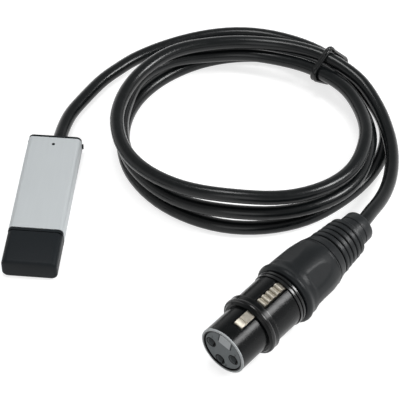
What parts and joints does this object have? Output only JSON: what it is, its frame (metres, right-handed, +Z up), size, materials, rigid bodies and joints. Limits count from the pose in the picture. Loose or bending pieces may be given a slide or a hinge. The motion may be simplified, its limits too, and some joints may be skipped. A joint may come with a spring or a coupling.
{
  "type": "usb dmx interface",
  "caption": "Slim aluminium USB stick with a pull-off cap on a tied, coiled black cord that ends in a round female stage-lighting connector with a thumb latch.",
  "frame": {"origin": "centre of the stick's underside, on the floor it rests on", "axes": "+Y from the USB plug towards the stick's cord end, +Z up"},
  "size_m": [0.1229, 0.1568, 0.0212],
  "materials": {
    "anodised_sleeve": "satin, brushed along the stick",
    "cap_plastic": "fine matt moulding",
    "plug_steel": "plain tinned sheet",
    "grey_plastic": "matt",
    "contact_gold": "gold plated",
    "board": "solder mask",
    "chip": "matt epoxy",
    "capacitor": "matt",
    "led": "clear resin",
    "wire_red": "satin",
    "wire_white": "satin",
    "wire_copper": "bare strands",
    "cord_jacket": "satin jacket",
    "tie_rubber": "satin",
    "shell_black": "black coated, glossy",
    "insert_plastic": "matt",
    "latch_nickel": "nickel, satin",
    "boot_rubber": "matt",
    "boot_plastic": "fine matt moulding"
  },
  "bodies": {
    "interface": {"housing_sleeve": "anodised_sleeve", "rear_end_plug": "cap_plastic", "front_bezel": "cap_plastic", "usb_plug_shell": "plug_steel", "usb_tongue": "grey_plastic", "usb_contact_1": "contact_gold", "usb_contact_2": "contact_gold", "usb_contact_3": "contact_gold", "usb_contact_4": "contact_gold", "circuit_board": "board", "usb_bridge_chip": "chip", "line_driver_chip": "chip", "crystal_can": "plug_steel", "bulk_capacitor": "capacitor", "status_led": "led", "stick_wire_1": "wire_red", "stick_wire_2": "wire_white", "stick_wire_3": "wire_copper", "cord_stick_lead": "cord_jacket", "cord_coil": "cord_jacket", "cord_connector_lead": "cord_jacket", "twist_tie": "tie_rubber", "connector_shell": "shell_black", "socket_insert": "insert_plastic", "key_block": "grey_plastic", "socket_contact_1": "contact_gold", "socket_contact_2": "contact_gold", "socket_contact_3": "contact_gold", "connector_wire_1": "wire_red", "connector_wire_2": "wire_white", "connector_wire_3": "wire_copper", "latch_pin": "plug_steel", "latch_spring": "plug_steel", "seal_ring": "boot_rubber", "back_nut": "boot_plastic", "bend_relief": "boot_rubber", "cord_chuck": "grey_plastic"},
    "cap": {"usb_cap": "cap_plastic"},
    "latch": {"latch_lever": "latch_nickel"}
  },
  "joints": [
    {"name": "cap_slide", "type": "slide", "parent": "interface", "child": "cap", "axis": [0, -1, 0], "range_m": [0, 0.02]},
    {"name": "latch_press", "type": "hinge", "parent": "interface", "child": "latch", "pos_m": [0.07997, -0.03859, 0.01769], "axis": [0.8022, -0.5722, -0.1702], "range_deg": [0, 4], "stiffness_Nm_per_rad": 1.5, "springref_deg": -2.29}
  ]
}
